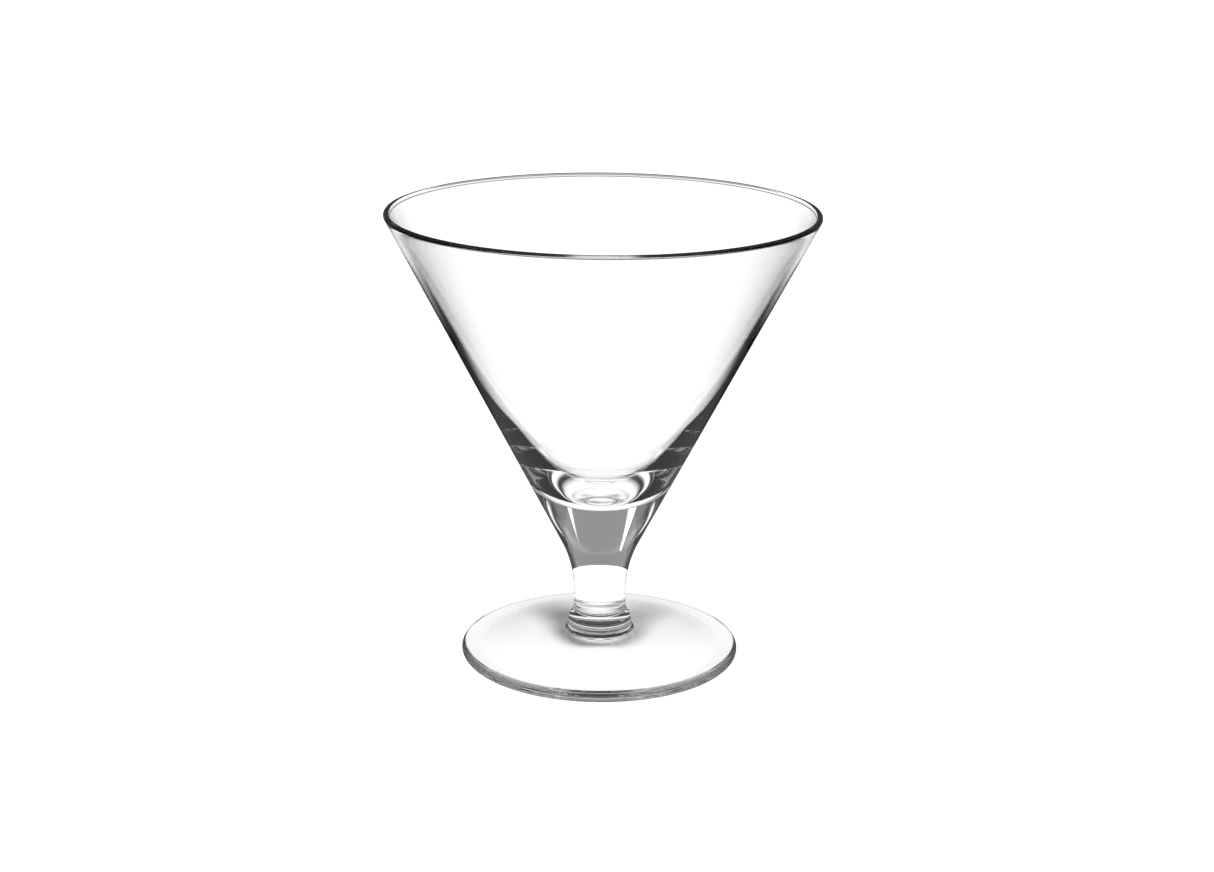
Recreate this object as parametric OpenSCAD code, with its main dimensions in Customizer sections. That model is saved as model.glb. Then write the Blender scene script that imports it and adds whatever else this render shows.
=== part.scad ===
// Short-stemmed martini glass in clear glass, four fused pieces.
// Millimetres, +Z up. The origin is the centre of the ring the foot rests on.

/* [Rim] */
// widest diameter over the lip
rim_d = 110;            // [108:0.5:114]
// overall height, table to top of the lip
total_h = 118.4;        // [117:0.2:122]
// thickness of the rounded lip
lip_t = 1.5;            // [1.4:0.05:1.8]

/* [Bowl] */
// slope of the straight bowl side, measured from the vertical
cone_angle = 27.35;     // [27.1:0.05:27.6]
// level thickness that the upper wall tends to; it is about 0.25 more at its thinnest
wall_t = 1.4;           // [1.1:0.05:1.6]
// height of the deepest point of the drinking cavity
cavity_z = 44.25;       // [42.5:0.25:46]
// size of the rounded cavity bottom: larger is rounder, smaller is more pointed
cavity_open = 33.5;     // [30:0.5:36]
// how quickly the cavity bottom turns into the straight wall
cavity_turn = 2.6;      // [2.4:0.1:3]

/* [Stem] */
// height of the joint between stem and bowl
joint_z = 38.5;         // [37:0.25:40]
// diameter of the stem just above the collar
stem_d = 13.4;          // [13:0.1:14]
// widening of the lower stem, from the vertical
stem_taper = 2;         // [1:0.1:3]
// radius of the hollow curve between the shaft and the flared top
flare_r = 30;           // [26:0.5:34]

/* [Collar] */
// widest diameter of the pressed ring under the stem
collar_d = 16.6;        // [16.2:0.1:17]
// height of the lower face of the collar
collar_z = 8.2;         // [7.8:0.1:8.6]
// height of the collar, up to the end of its hollow neck
collar_h = 4.9;         // [4.7:0.1:5.6]

/* [Foot] */
// diameter of the foot
foot_d = 72.8;          // [68:0.2:78]
// thickness of the rounded foot edge
foot_edge = 3.1;        // [2.6:0.1:3.6]
// height of the hollow under the middle of the foot
foot_hollow = 3;        // [2.4:0.1:3.4]
// width of the flat ring that touches the table
rest_w = 3.4;           // [2.4:0.2:4.4]

/* [Hidden] */
$fn = 96;
glass_bowl = [0.86, 0.91, 0.93, 0.4];
glass_stem = [0.78, 0.85, 0.90, 0.5];
glass_collar = [0.70, 0.79, 0.86, 0.55];
glass_foot = [0.83, 0.89, 0.91, 0.45];

// lip circle
lip_r = lip_t / 2;
lip_c = [rim_d / 2 - lip_r, total_h - lip_r];

// collar top, where the stem stands
stem_z = collar_z + collar_h;

// straight outer side of the bowl, tangent to the lip circle
function side_r(z) = lip_c[0] + lip_r / cos(cone_angle) - (lip_c[1] - z) * tan(cone_angle);

// the smaller of two radii with a soft change-over
function soft_min(a, b, k) = let (h = max(k - abs(a - b), 0) / k) min(a, b) - h * h * k / 4;

// least level wall thickness, swelling a little into the lip
function wall_at(z) = wall_t + (lip_t / cos(cone_angle) - wall_t) * exp((z - lip_c[1]) / 3.5);

// radius of the drinking cavity: a rounded bottom that runs into the straight wall
function cavity_r(z) = let (d = z - cavity_z)
    soft_min(tan(cone_angle) * ((d + cavity_open)^cavity_turn - cavity_open^cavity_turn)^(1 / cavity_turn),
             side_r(z) - wall_at(z), 1.6);

// points on an arc about a centre
function arc(c, r, a0, a1, n) = [for (i = [0:n]) let (a = a0 + (a1 - a0) * i / n) c + r * [cos(a), sin(a)]];

// heights of the cavity rings: close together at the bottom, wider apart above
cavity_top = total_h - lip_t;
cavity_n = 26;
function cavity_level(i) = cavity_z + (cavity_top - cavity_z) * (i / cavity_n)^2.2;

module bowl() {
    color(glass_bowl) rotate_extrude() polygon(concat(
        [[0, joint_z]],
        [[side_r(joint_z), joint_z]],
        arc(lip_c, lip_r, -cone_angle, 180 - cone_angle + 3, 14),
        [for (i = [cavity_n:-1:1]) let (z = cavity_level(i)) [cavity_r(z), z]],
        [[0, cavity_z]]
    ));
}

// height where the tapered shaft and the flared top would cross, and the arc between them
stem_r = stem_d / 2;
cross_z = (stem_r - side_r(0) - stem_z * tan(stem_taper)) / (tan(cone_angle) - tan(stem_taper));
arc_z = cross_z - flare_r * tan((cone_angle - stem_taper) / 2) * cos(stem_taper);
arc_c = [stem_r + (arc_z - stem_z) * tan(stem_taper) + flare_r * cos(stem_taper),
         arc_z - flare_r * sin(stem_taper)];

module stem() {
    color(glass_stem) rotate_extrude() polygon(concat(
        [[0, stem_z], [stem_r, stem_z]],
        arc(arc_c, flare_r, 180 - stem_taper, 180 - cone_angle, 14),
        [[side_r(joint_z), joint_z], [0, joint_z]]
    ));
}

// a pressed ring: a full round bulge that runs up into a hollow neck under the stem
bulge_r = 5;
bulge_c = [collar_d / 2 - bulge_r, collar_z + 0.4];
neck_a = stem_r - bulge_c[0];
neck_b = stem_z - bulge_c[1];
neck_r = (neck_a^2 + neck_b^2 - bulge_r^2) / (2 * (bulge_r - neck_a));
neck_turn = atan2(neck_b, neck_a + neck_r);
foot_turn = -asin(0.4 / bulge_r);
boss_r = bulge_c[0] + bulge_r * cos(foot_turn);

module collar() {
    color(glass_collar) rotate_extrude() polygon(concat(
        [[0, collar_z]],
        arc(bulge_c, bulge_r, foot_turn, neck_turn, 12),
        arc([stem_r + neck_r, stem_z], neck_r, 179 + neck_turn, 180, 8),
        [[0, stem_z]]
    ));
}

// upper face of the foot, swept up towards the collar
foot_r = foot_d / 2;
sweep_r = 1.3;
crown_z = collar_z - sweep_r;
function foot_top(r) = let (t = (rest_out - r) / (rest_out - boss_r - sweep_r))
    foot_edge + (crown_z - foot_edge) * t^1.1;

// shallow dome under the foot, from the middle out to the resting ring
rest_out = foot_r - foot_edge / 2;
rest_in = rest_out - rest_w;
function foot_under(r) = foot_hollow * (1 - (r / rest_in)^2)^1.2;

module foot() {
    top_n = 14;
    color(glass_foot) rotate_extrude() polygon(concat(
        [for (i = [0:12]) let (r = rest_in * i / 12) [r, foot_under(r)]],
        arc([rest_out, foot_edge / 2], foot_edge / 2, -90, 90, 12),
        [for (i = [1:top_n]) let (r = rest_out + (boss_r + sweep_r - rest_out) * i / top_n) [r, foot_top(r)]],
        arc([boss_r + sweep_r, collar_z], sweep_r, 262, 180, 6),
        [[0, collar_z]]
    ));
}

bowl();
stem();
collar();
foot();
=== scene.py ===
from math import asin, atan2, cos, degrees, exp, radians, sin, tan

import bpy
from mathutils import Matrix, Vector


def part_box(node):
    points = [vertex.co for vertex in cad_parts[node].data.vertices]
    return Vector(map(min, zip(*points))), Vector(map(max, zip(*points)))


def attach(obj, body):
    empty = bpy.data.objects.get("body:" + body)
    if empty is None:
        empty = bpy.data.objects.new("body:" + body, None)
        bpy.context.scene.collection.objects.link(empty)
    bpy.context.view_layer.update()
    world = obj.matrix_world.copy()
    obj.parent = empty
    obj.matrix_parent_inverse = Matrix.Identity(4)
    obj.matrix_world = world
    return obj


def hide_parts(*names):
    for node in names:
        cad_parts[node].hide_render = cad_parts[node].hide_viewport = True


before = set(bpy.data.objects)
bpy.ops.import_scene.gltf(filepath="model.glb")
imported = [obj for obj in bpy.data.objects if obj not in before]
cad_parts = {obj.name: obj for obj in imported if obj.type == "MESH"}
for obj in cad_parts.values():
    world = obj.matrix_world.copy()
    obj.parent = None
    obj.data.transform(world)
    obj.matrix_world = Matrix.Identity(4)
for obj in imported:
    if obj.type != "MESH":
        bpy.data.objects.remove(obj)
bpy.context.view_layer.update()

MM = 0.001
TURNS = 240                 # facets round every turned piece
FLAT = 0.999                # a face this level counts as flat
TOUCH = 0.001 * MM          # closer than this counts as the same height

# heights of the joints, from the solids they belong to
joint_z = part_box("bowl")[0][2]
stem_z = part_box("stem")[0][2]
collar_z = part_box("collar")[0][2]
total_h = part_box("bowl")[1][2]


# ---------------------------------------------------------------- profile helpers

def arc(centre, radius, start, end, steps):
    """Points on an arc in the profile plane, angles in degrees."""
    turn = [radians(start + (end - start) * i / steps) for i in range(steps + 1)]
    return [(centre[0] + radius * cos(a), centre[1] + radius * sin(a)) for a in turn]


def span(low, high, steps):
    return [low + (high - low) * i / steps for i in range(steps + 1)]


def soft_min(a, b, k):
    h = max(k - abs(a - b), 0) / k
    return min(a, b) - h * h * k / 4


# ---------------------------------------------------------------- bowl profile

cone = radians(27.35)
lip_t = 1.5 * MM
lip_r = lip_t / 2
lip_x = 55 * MM - lip_r
lip_z = total_h - lip_r
wall_t = 1.4 * MM
cavity_z = 44.25 * MM
cavity_open = 33.5 * MM
cavity_turn = 2.6
wall_blend = 1.6 * MM       # soft change-over from the rounded bottom to the wall
lip_swell = 3.5 * MM        # height over which the wall swells into the lip
CAVITY_RINGS = 74
RING_CROWDING = 2.1         # above 1 the rings crowd together at the bottom


def side_r(z):
    return lip_x + lip_r / cos(cone) - (lip_z - z) * tan(cone)


def cavity_r(z):
    d = z - cavity_z
    wall = wall_t + (lip_t / cos(cone) - wall_t) * exp((z - lip_z) / lip_swell)
    curve = tan(cone) * ((d + cavity_open) ** cavity_turn - cavity_open ** cavity_turn) ** (1 / cavity_turn)
    return soft_min(curve, side_r(z) - wall, wall_blend)


def bowl_profile():
    outer = [(side_r(z), z) for z in span(joint_z, lip_z - lip_t, 50)]
    lip = arc((lip_x, lip_z), lip_r, -degrees(cone), 180 - degrees(cone) + 3, 18)
    top = total_h - lip_t
    heights = [cavity_z + (top - cavity_z) * (i / CAVITY_RINGS) ** RING_CROWDING
               for i in range(CAVITY_RINGS, 0, -1)]
    inner = [(cavity_r(z), z) for z in heights]
    return outer + lip + inner


# ---------------------------------------------------------------- stem profile

stem_r = 6.7 * MM
taper = radians(2)
hollow_r = 30 * MM


def stem_profile():
    cross = (stem_r - side_r(0) - stem_z * tan(taper)) / (tan(cone) - tan(taper))
    tangent = hollow_r * tan((cone - taper) / 2)
    arc_z = cross - tangent * cos(taper)
    centre = (stem_r + (arc_z - stem_z) * tan(taper) + hollow_r * cos(taper),
              arc_z - hollow_r * sin(taper))
    bend = arc(centre, hollow_r, 180 - degrees(taper), 180 - degrees(cone), 44)
    shaft = [(stem_r + (z - stem_z) * tan(taper), z) for z in span(stem_z, arc_z, 10)[:-1]]
    head = [(side_r(z), z) for z in span(bend[-1][1], joint_z, 10)[1:]]
    return shaft + bend + head


# ---------------------------------------------------------------- collar profile

collar_r = 8.3 * MM
bulge_r = 5 * MM
bulge_x = collar_r - bulge_r
bulge_rise = 0.4 * MM       # centre of the bulge above the collar's lower face
bulge_z = collar_z + bulge_rise
foot_turn = -asin(bulge_rise / bulge_r)
boss_r = bulge_x + bulge_r * cos(foot_turn)


def collar_profile():
    """A round bulge that runs into the hollow neck under the stem."""
    a, b = stem_r - bulge_x, stem_z - bulge_z
    neck_r = (a * a + b * b - bulge_r * bulge_r) / (2 * (bulge_r - a))
    neck_turn = degrees(atan2(b, a + neck_r))
    bulge = arc((bulge_x, bulge_z), bulge_r, degrees(foot_turn), neck_turn, 26)
    neck = arc((stem_r + neck_r, stem_z), neck_r, 180 + neck_turn, 180, 16)
    return bulge + neck[1:]


# ---------------------------------------------------------------- foot profile

foot_r = 36.4 * MM
foot_edge = 3.1 * MM
foot_hollow = 3 * MM
rest_out = foot_r - foot_edge / 2
rest_w = 3.4 * MM
rest_in = rest_out - rest_w
sweep_r = 1.3 * MM          # hollow sweep from the foot's top up to the collar
crown_z = collar_z - sweep_r
top_curve = 1.1             # 1 is a plain cone
dome_curve = 1.2


def foot_profile():
    sweep_in = boss_r + sweep_r
    under = [(r, foot_hollow * (1 - (r / rest_in) ** 2) ** dome_curve) for r in span(0, rest_in, 36)[1:]]
    edge = arc((rest_out, foot_edge / 2), foot_edge / 2, -90, 90, 28)
    top = [(r, foot_edge + (crown_z - foot_edge) * ((rest_out - r) / (rest_out - sweep_in)) ** top_curve)
           for r in span(rest_out, sweep_in, 40)[1:]]
    neck = arc((sweep_in, collar_z), sweep_r, 262, 180, 12)
    return under + edge + top + neck


# ---------------------------------------------------------------- turning

def deselect():
    if bpy.context.mode != "OBJECT":
        bpy.ops.object.mode_set(mode="OBJECT")
    bpy.ops.object.select_all(action="DESELECT")


def turn(name, profile, start_z, end_z):
    """A closed turned piece: a first disc, one ring extruded after the other, a closed pole."""
    deselect()
    r0, z0 = profile[0]
    bpy.ops.mesh.primitive_circle_add(vertices=TURNS, radius=r0, fill_type="TRIFAN", location=(0, 0, z0))
    piece = bpy.context.object
    piece.name = piece.data.name = name
    bpy.ops.object.transform_apply(location=True, rotation=True, scale=True)
    mesh = piece.data
    for v in mesh.vertices:
        if v.co.xy.length < r0 * 0.5:
            v.co.z = start_z
    bpy.ops.object.mode_set(mode="EDIT")
    bpy.ops.mesh.select_all(action="DESELECT")
    bpy.ops.object.mode_set(mode="OBJECT")
    for v in mesh.vertices:
        v.select = v.co.xy.length > r0 * 0.5
    for e in mesh.edges:
        e.select = all(mesh.vertices[i].select for i in e.vertices)
    bpy.ops.object.mode_set(mode="EDIT")
    bpy.ops.mesh.select_mode(type="EDGE")
    for r, z in profile[1:]:
        bpy.ops.mesh.extrude_region_move(TRANSFORM_OT_translate={"value": (0, 0, z - z0)})
        bpy.ops.transform.resize(value=(r / r0, r / r0, 1), center_override=(0, 0, z))
        r0, z0 = r, z
    bpy.ops.mesh.extrude_region_move(TRANSFORM_OT_translate={"value": (0, 0, end_z - z0)})
    bpy.ops.mesh.merge(type="CENTER")
    bpy.ops.mesh.select_all(action="SELECT")
    bpy.ops.mesh.normals_make_consistent(inside=False)
    bpy.ops.object.mode_set(mode="OBJECT")
    bpy.ops.object.shade_smooth_by_angle(angle=radians(40))
    return piece


def weld_faces(piece, joint, *heights):
    """The flat faces at a fused joint have no surface of their own in the glass."""
    piece.data.materials.append(joint)
    for f in piece.data.polygons:
        zs = [piece.data.vertices[i].co.z for i in f.vertices]
        if abs(f.normal.z) > FLAT and any(max(abs(z - h) for z in zs) < TOUCH for h in heights):
            f.material_index = len(piece.data.materials) - 1


# ---------------------------------------------------------------- finishes

def maths(nodes, links, operation, *values):
    node = nodes.new("ShaderNodeMath")
    node.operation = operation
    for socket, value in zip(node.inputs, values):
        if isinstance(value, (int, float)):
            socket.default_value = value
        else:
            links.new(value, socket)
    return node.outputs[0]


def fade(nodes, links, value, outside, inside):
    """1 where value is at or past inside, 0 at outside, soft between."""
    node = nodes.new("ShaderNodeMapRange")
    node.interpolation_type = "SMOOTHSTEP"
    links.new(value, node.inputs["Value"])
    node.inputs["From Min"].default_value = outside
    node.inputs["From Max"].default_value = inside
    return node.outputs["Result"]


def length_of(nodes, links, vector):
    node = nodes.new("ShaderNodeVectorMath")
    node.operation = "LENGTH"
    links.new(vector, node.inputs[0])
    return node.outputs["Value"]


GLASS_IOR = 1.52
LINE_SOFT = 0.3             # share of a painted dark line's half width over which it fades
WOBBLE_SCALE = 55


def clear_glass(name, tint, painted_line_tint, painted_lines, wobble):
    """Clear glass. Fine grey lines painted into its colour are painted shade: they stand in for the dark
    lines that a rounded edge shows.
    """
    mat = bpy.data.materials.new(name)
    mat.use_nodes = True
    nodes, links = mat.node_tree.nodes, mat.node_tree.links
    shader = nodes["Principled BSDF"]
    shader.inputs["Base Color"].default_value = (*tint, 1)
    shader.inputs["Roughness"].default_value = 0.0
    shader.inputs["IOR"].default_value = GLASS_IOR
    shader.inputs["Transmission Weight"].default_value = 1.0
    coord = nodes.new("ShaderNodeTexCoord")
    # each painted dark line runs round at its height, outside its radius
    place = nodes.new("ShaderNodeSeparateXYZ")
    links.new(coord.outputs["Object"], place.inputs["Vector"])
    flat = nodes.new("ShaderNodeVectorMath")
    flat.operation = "MULTIPLY"
    flat.inputs[1].default_value = (1, 1, 0)
    links.new(coord.outputs["Object"], flat.inputs[0])
    radius = length_of(nodes, links, flat.outputs["Vector"])
    grey = None
    for height, half, beyond in painted_lines:
        off = maths(nodes, links, "ABSOLUTE", maths(nodes, links, "SUBTRACT", place.outputs["Z"], height))
        outside = maths(nodes, links, "GREATER_THAN", radius, beyond)
        line = fade(nodes, links, off, half * (1 + LINE_SOFT), half * (1 - LINE_SOFT))
        line = maths(nodes, links, "MULTIPLY", line, outside)
        grey = line if grey is None else maths(nodes, links, "MAXIMUM", grey, line)
    colour = nodes.new("ShaderNodeMix")
    colour.data_type = "RGBA"
    colour.inputs["A"].default_value = (*tint, 1)
    colour.inputs["B"].default_value = (*painted_line_tint, 1)
    links.new(grey, colour.inputs["Factor"])
    links.new(colour.outputs["Result"], shader.inputs["Base Color"])
    # slow unevenness of the polished surface
    slow = nodes.new("ShaderNodeTexNoise")
    slow.inputs["Scale"].default_value = WOBBLE_SCALE
    slow.inputs["Detail"].default_value = 1.5
    slow_bump = nodes.new("ShaderNodeBump")
    slow_bump.inputs["Strength"].default_value = 1.0
    slow_bump.inputs["Distance"].default_value = wobble
    links.new(coord.outputs["Object"], slow.inputs["Vector"])
    links.new(slow.outputs["Fac"], slow_bump.inputs["Height"])
    links.new(slow_bump.outputs["Normal"], shader.inputs["Normal"])
    return mat


def fused_joint():
    mat = bpy.data.materials.new("fused joint")
    mat.use_nodes = True
    nodes, links = mat.node_tree.nodes, mat.node_tree.links
    nodes.clear()
    out = nodes.new("ShaderNodeOutputMaterial")
    clear = nodes.new("ShaderNodeBsdfTransparent")
    links.new(clear.outputs["BSDF"], out.inputs["Surface"])
    return mat


# ---------------------------------------------------------------- the glass

# painted dark lines on the lip and on the foot's edge, standing in for the edge's shading: height, half
# width, radius they start at
LIP_PAINTED_LINES = ((total_h, 0.11 * MM, 0.0), (total_h - 0.85 * MM, 0.16 * MM, 0.0))
EDGE_PAINTED_LINES = ((2.5 * MM, 0.08 * MM, rest_out), (0.25 * MM, 0.1 * MM, rest_out))

joint = fused_joint()
# the second colour given to each glass is the tint of its painted dark lines
bowl_glass = clear_glass("bowl glass", (0.995, 0.998, 0.997), (0.12, 0.11, 0.10), LIP_PAINTED_LINES, 0.01 * MM)
base_glass = clear_glass("base glass", (0.992, 0.996, 0.995), (0.30, 0.28, 0.27), EDGE_PAINTED_LINES, 0.004 * MM)

bowl = turn("bowl_blown", bowl_profile(), joint_z, cavity_z)
stem = turn("stem_drawn", stem_profile(), stem_z, joint_z)
collar = turn("collar_pressed", collar_profile(), collar_z, stem_z)
foot = turn("foot_pressed", foot_profile(), foot_hollow, collar_z)

for piece, glass, node, slot, welds in (
        (bowl, bowl_glass, "bowl", "bowl_glass", (joint_z,)),
        (stem, base_glass, "stem", "base_glass", (stem_z, joint_z)),
        (collar, base_glass, "collar", "base_glass", (collar_z, stem_z)),
        (foot, base_glass, "foot", "base_glass", (collar_z,))):
    piece.data.materials.append(glass)
    weld_faces(piece, joint, *welds)
    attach(piece, "root")
    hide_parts(node)


# ---------------------------------------------------------------- table, light and camera

TABLE_SIZE = 8
TABLE_DROP = 0.2 * MM       # keeps the table clear of the ring under the foot
TABLE_GLOW = 1.30
TABLE_GLARE = 0.12          # share of the glow that mirrored rays find
# painted soft shadows of the stem under the foot: direction from +Y in degrees, and how much light is left
PAINTED_STEM_SHADOWS = ((-30, 0.30), (31, 0.50))
# their fades, each from no shade to full shade: sideways, at the stem and at the outer end
SHADE_SIDE = (9.5 * MM, 0.5 * MM)
SHADE_START = (0.0, 8 * MM)
SHADE_END = (36 * MM, 18 * MM)
# the table as light mirrored inside the glass finds it, by distance from the axis, each from dim to bright
SPOT_DIM = 0.05
SPOT_NEAR = (190 * MM, 80 * MM)
SPOT_RING_IN = (200 * MM, 340 * MM)
SPOT_RING_OUT = (800 * MM, 500 * MM)
# near the foot it glows less sideways: facing values from dim to bright, and the distances where that ends
SPOT_SLANT = (0.8, 0.3)
SPOT_SLANT_ENDS = (46 * MM, 60 * MM)


def mirrored_inside(nodes, links, ray):
    """1 for light that has already been mirrored inside the glass."""
    return maths(nodes, links, "GREATER_THAN", ray.outputs["Glossy Depth"], 0.5)


def table():
    """A white light table, with two soft painted shadows of the stem drawn into its glow."""
    deselect()
    bpy.ops.mesh.primitive_plane_add(size=TABLE_SIZE, location=(0, 0, -TABLE_DROP))
    top = bpy.context.object
    top.name = "light_table"
    mat = bpy.data.materials.new("light table")
    mat.use_nodes = True
    nodes, links = mat.node_tree.nodes, mat.node_tree.links
    nodes.clear()
    out = nodes.new("ShaderNodeOutputMaterial")
    glow = nodes.new("ShaderNodeEmission")
    place = nodes.new("ShaderNodeTexCoord").outputs["Object"]
    shade = None
    # the painted shadows of the stem darken the table's glow
    for angle, depth in PAINTED_STEM_SHADOWS:
        one = painted_shadow(nodes, links, place, angle, depth)
        shade = one if shade is None else maths(nodes, links, "MULTIPLY", shade, one)
    # light that has been mirrored inside the glass comes from a table that is bright under the glass,
    # dim in a ring round it, bright in a wider ring and dim beyond
    ray = nodes.new("ShaderNodeLightPath")
    mirrored = mirrored_inside(nodes, links, ray)
    away = length_of(nodes, links, place)
    slant = nodes.new("ShaderNodeLayerWeight")
    slant.inputs["Blend"].default_value = 0.5
    steep = fade(nodes, links, slant.outputs["Facing"], *SPOT_SLANT)
    steep = maths(nodes, links, "MAXIMUM", steep, fade(nodes, links, away, *SPOT_SLANT_ENDS))
    near = maths(nodes, links, "MULTIPLY", fade(nodes, links, away, *SPOT_NEAR), steep)
    ring = maths(nodes, links, "MULTIPLY", fade(nodes, links, away, *SPOT_RING_IN),
                 fade(nodes, links, away, *SPOT_RING_OUT))
    spot = maths(nodes, links, "MAXIMUM", SPOT_DIM, maths(nodes, links, "MAXIMUM", near, ring))
    seen = maths(nodes, links, "MULTIPLY_ADD", mirrored, maths(nodes, links, "SUBTRACT", spot, 1), 1)
    glare = maths(nodes, links, "MULTIPLY_ADD", ray.outputs["Is Reflection Ray"], TABLE_GLARE - 1, 1)
    level = maths(nodes, links, "MULTIPLY", maths(nodes, links, "MULTIPLY", shade, seen),
                  maths(nodes, links, "MULTIPLY", glare, TABLE_GLOW))
    links.new(level, glow.inputs["Strength"])
    links.new(glow.outputs["Emission"], out.inputs["Surface"])
    top.data.materials.append(mat)


def painted_shadow(nodes, links, place, angle, depth):
    """Light left in one long soft painted shadow that starts at the stem and runs outwards."""
    turned = nodes.new("ShaderNodeVectorRotate")
    turned.rotation_type = "Z_AXIS"
    turned.inputs["Angle"].default_value = radians(angle)
    links.new(place, turned.inputs["Vector"])
    split = nodes.new("ShaderNodeSeparateXYZ")
    links.new(turned.outputs["Vector"], split.inputs["Vector"])
    across = maths(nodes, links, "ABSOLUTE", split.outputs["X"])
    side = fade(nodes, links, across, *SHADE_SIDE)
    start = fade(nodes, links, split.outputs["Y"], *SHADE_START)
    end = fade(nodes, links, split.outputs["Y"], *SHADE_END)
    shade = maths(nodes, links, "MULTIPLY", side, maths(nodes, links, "MULTIPLY", start, end))
    return maths(nodes, links, "MULTIPLY_ADD", shade, depth - 1, 1)


# soft windows behind the glass, in degrees: direction, height, half width, half height, softness;
# then their brightness
WINDOWS = (
    (-21.5, 20.0, 3.0, 1.6, 0.8, 2.2),
    (21, 19.8, 1.2, 1.2, 0.8, 2.0),
)
BACKDROP = 0.26
BACKDROP_AREA = (0, 0, 34, 30, 9)
ROOM = 0.09
ROOM_GLARE = 0.4            # share of the room's light that rays mirrored inside the glass find
ROOM_TINT = (1.0, 0.96, 0.94)


def studio():
    """A dark room with a grey backdrop, two slim windows and a white table to the horizon."""
    world = bpy.data.worlds.new("studio")
    bpy.context.scene.world = world
    world.use_nodes = True
    nodes, links = world.node_tree.nodes, world.node_tree.links
    nodes.clear()
    out = nodes.new("ShaderNodeOutputWorld")
    sky = nodes.new("ShaderNodeBackground")
    links.new(sky.outputs["Background"], out.inputs["Surface"])
    split = nodes.new("ShaderNodeSeparateXYZ")
    links.new(nodes.new("ShaderNodeTexCoord").outputs["Generated"], split.inputs["Vector"])
    round_ = maths(nodes, links, "ARCTAN2", split.outputs["X"], split.outputs["Y"])
    height = maths(nodes, links, "ARCSINE", split.outputs["Z"])

    def mask(direction, level, half_w, half_h, soft):
        off = maths(nodes, links, "ABSOLUTE", maths(nodes, links, "SUBTRACT", round_, radians(direction)))
        rise = maths(nodes, links, "ABSOLUTE", maths(nodes, links, "SUBTRACT", height, radians(level)))
        return maths(nodes, links, "MULTIPLY",
                     fade(nodes, links, off, radians(half_w + soft), radians(half_w)),
                     fade(nodes, links, rise, radians(half_h + soft), radians(half_h)))

    light = maths(nodes, links, "MULTIPLY_ADD", mask(*BACKDROP_AREA), BACKDROP - ROOM, ROOM)
    for *area, power in WINDOWS:
        light = maths(nodes, links, "MULTIPLY_ADD", mask(*area), power, light)
    below = maths(nodes, links, "LESS_THAN", split.outputs["Z"], 0.0)
    light = maths(nodes, links, "MULTIPLY_ADD", below, TABLE_GLOW, light)
    ray = nodes.new("ShaderNodeLightPath")
    mirrored = mirrored_inside(nodes, links, ray)
    dimmer = maths(nodes, links, "MULTIPLY_ADD", mirrored, ROOM_GLARE - 1, 1)
    light = maths(nodes, links, "MULTIPLY", light, dimmer)
    # looked at directly, the wall behind is as pale as the table
    pale = maths(nodes, links, "MULTIPLY", ray.outputs["Is Camera Ray"], TABLE_GLOW)
    light = maths(nodes, links, "MAXIMUM", light, pale)
    links.new(light, sky.inputs["Strength"])
    sky.inputs["Color"].default_value = (*ROOM_TINT, 1)


CAMERA_PLACE = (0, -0.54798, 0.22370)
CAMERA_LENS = 65.65
LIGHT_BOUNCES = 64          # light runs a long way inside solid glass


def camera():
    """Looks slightly down at the glass from the front."""
    pitch, yaw, roll = 0.291584, 0.002736, 0.009633
    ahead = Vector((sin(yaw) * cos(pitch), cos(yaw) * cos(pitch), -sin(pitch)))
    right = ahead.cross(Vector((0, 0, 1))).normalized()
    up = right.cross(ahead)
    right, up = right * cos(roll) + up * sin(roll), up * cos(roll) - right * sin(roll)
    data = bpy.data.cameras.new("camera")
    data.sensor_width = 36
    data.lens = CAMERA_LENS
    data.clip_start = 0.01
    data.clip_end = 50
    cam = bpy.data.objects.new("camera", data)
    bpy.context.scene.collection.objects.link(cam)
    turned = Matrix((right, up, -ahead)).transposed().to_4x4()
    cam.matrix_world = Matrix.Translation(CAMERA_PLACE) @ turned
    bpy.context.scene.camera = cam


table()
studio()
camera()
scene = bpy.context.scene
scene.view_settings.view_transform = "Standard"
scene.cycles.max_bounces = LIGHT_BOUNCES
scene.cycles.transmission_bounces = LIGHT_BOUNCES
scene.cycles.glossy_bounces = LIGHT_BOUNCES
scene.cycles.transparent_max_bounces = LIGHT_BOUNCES
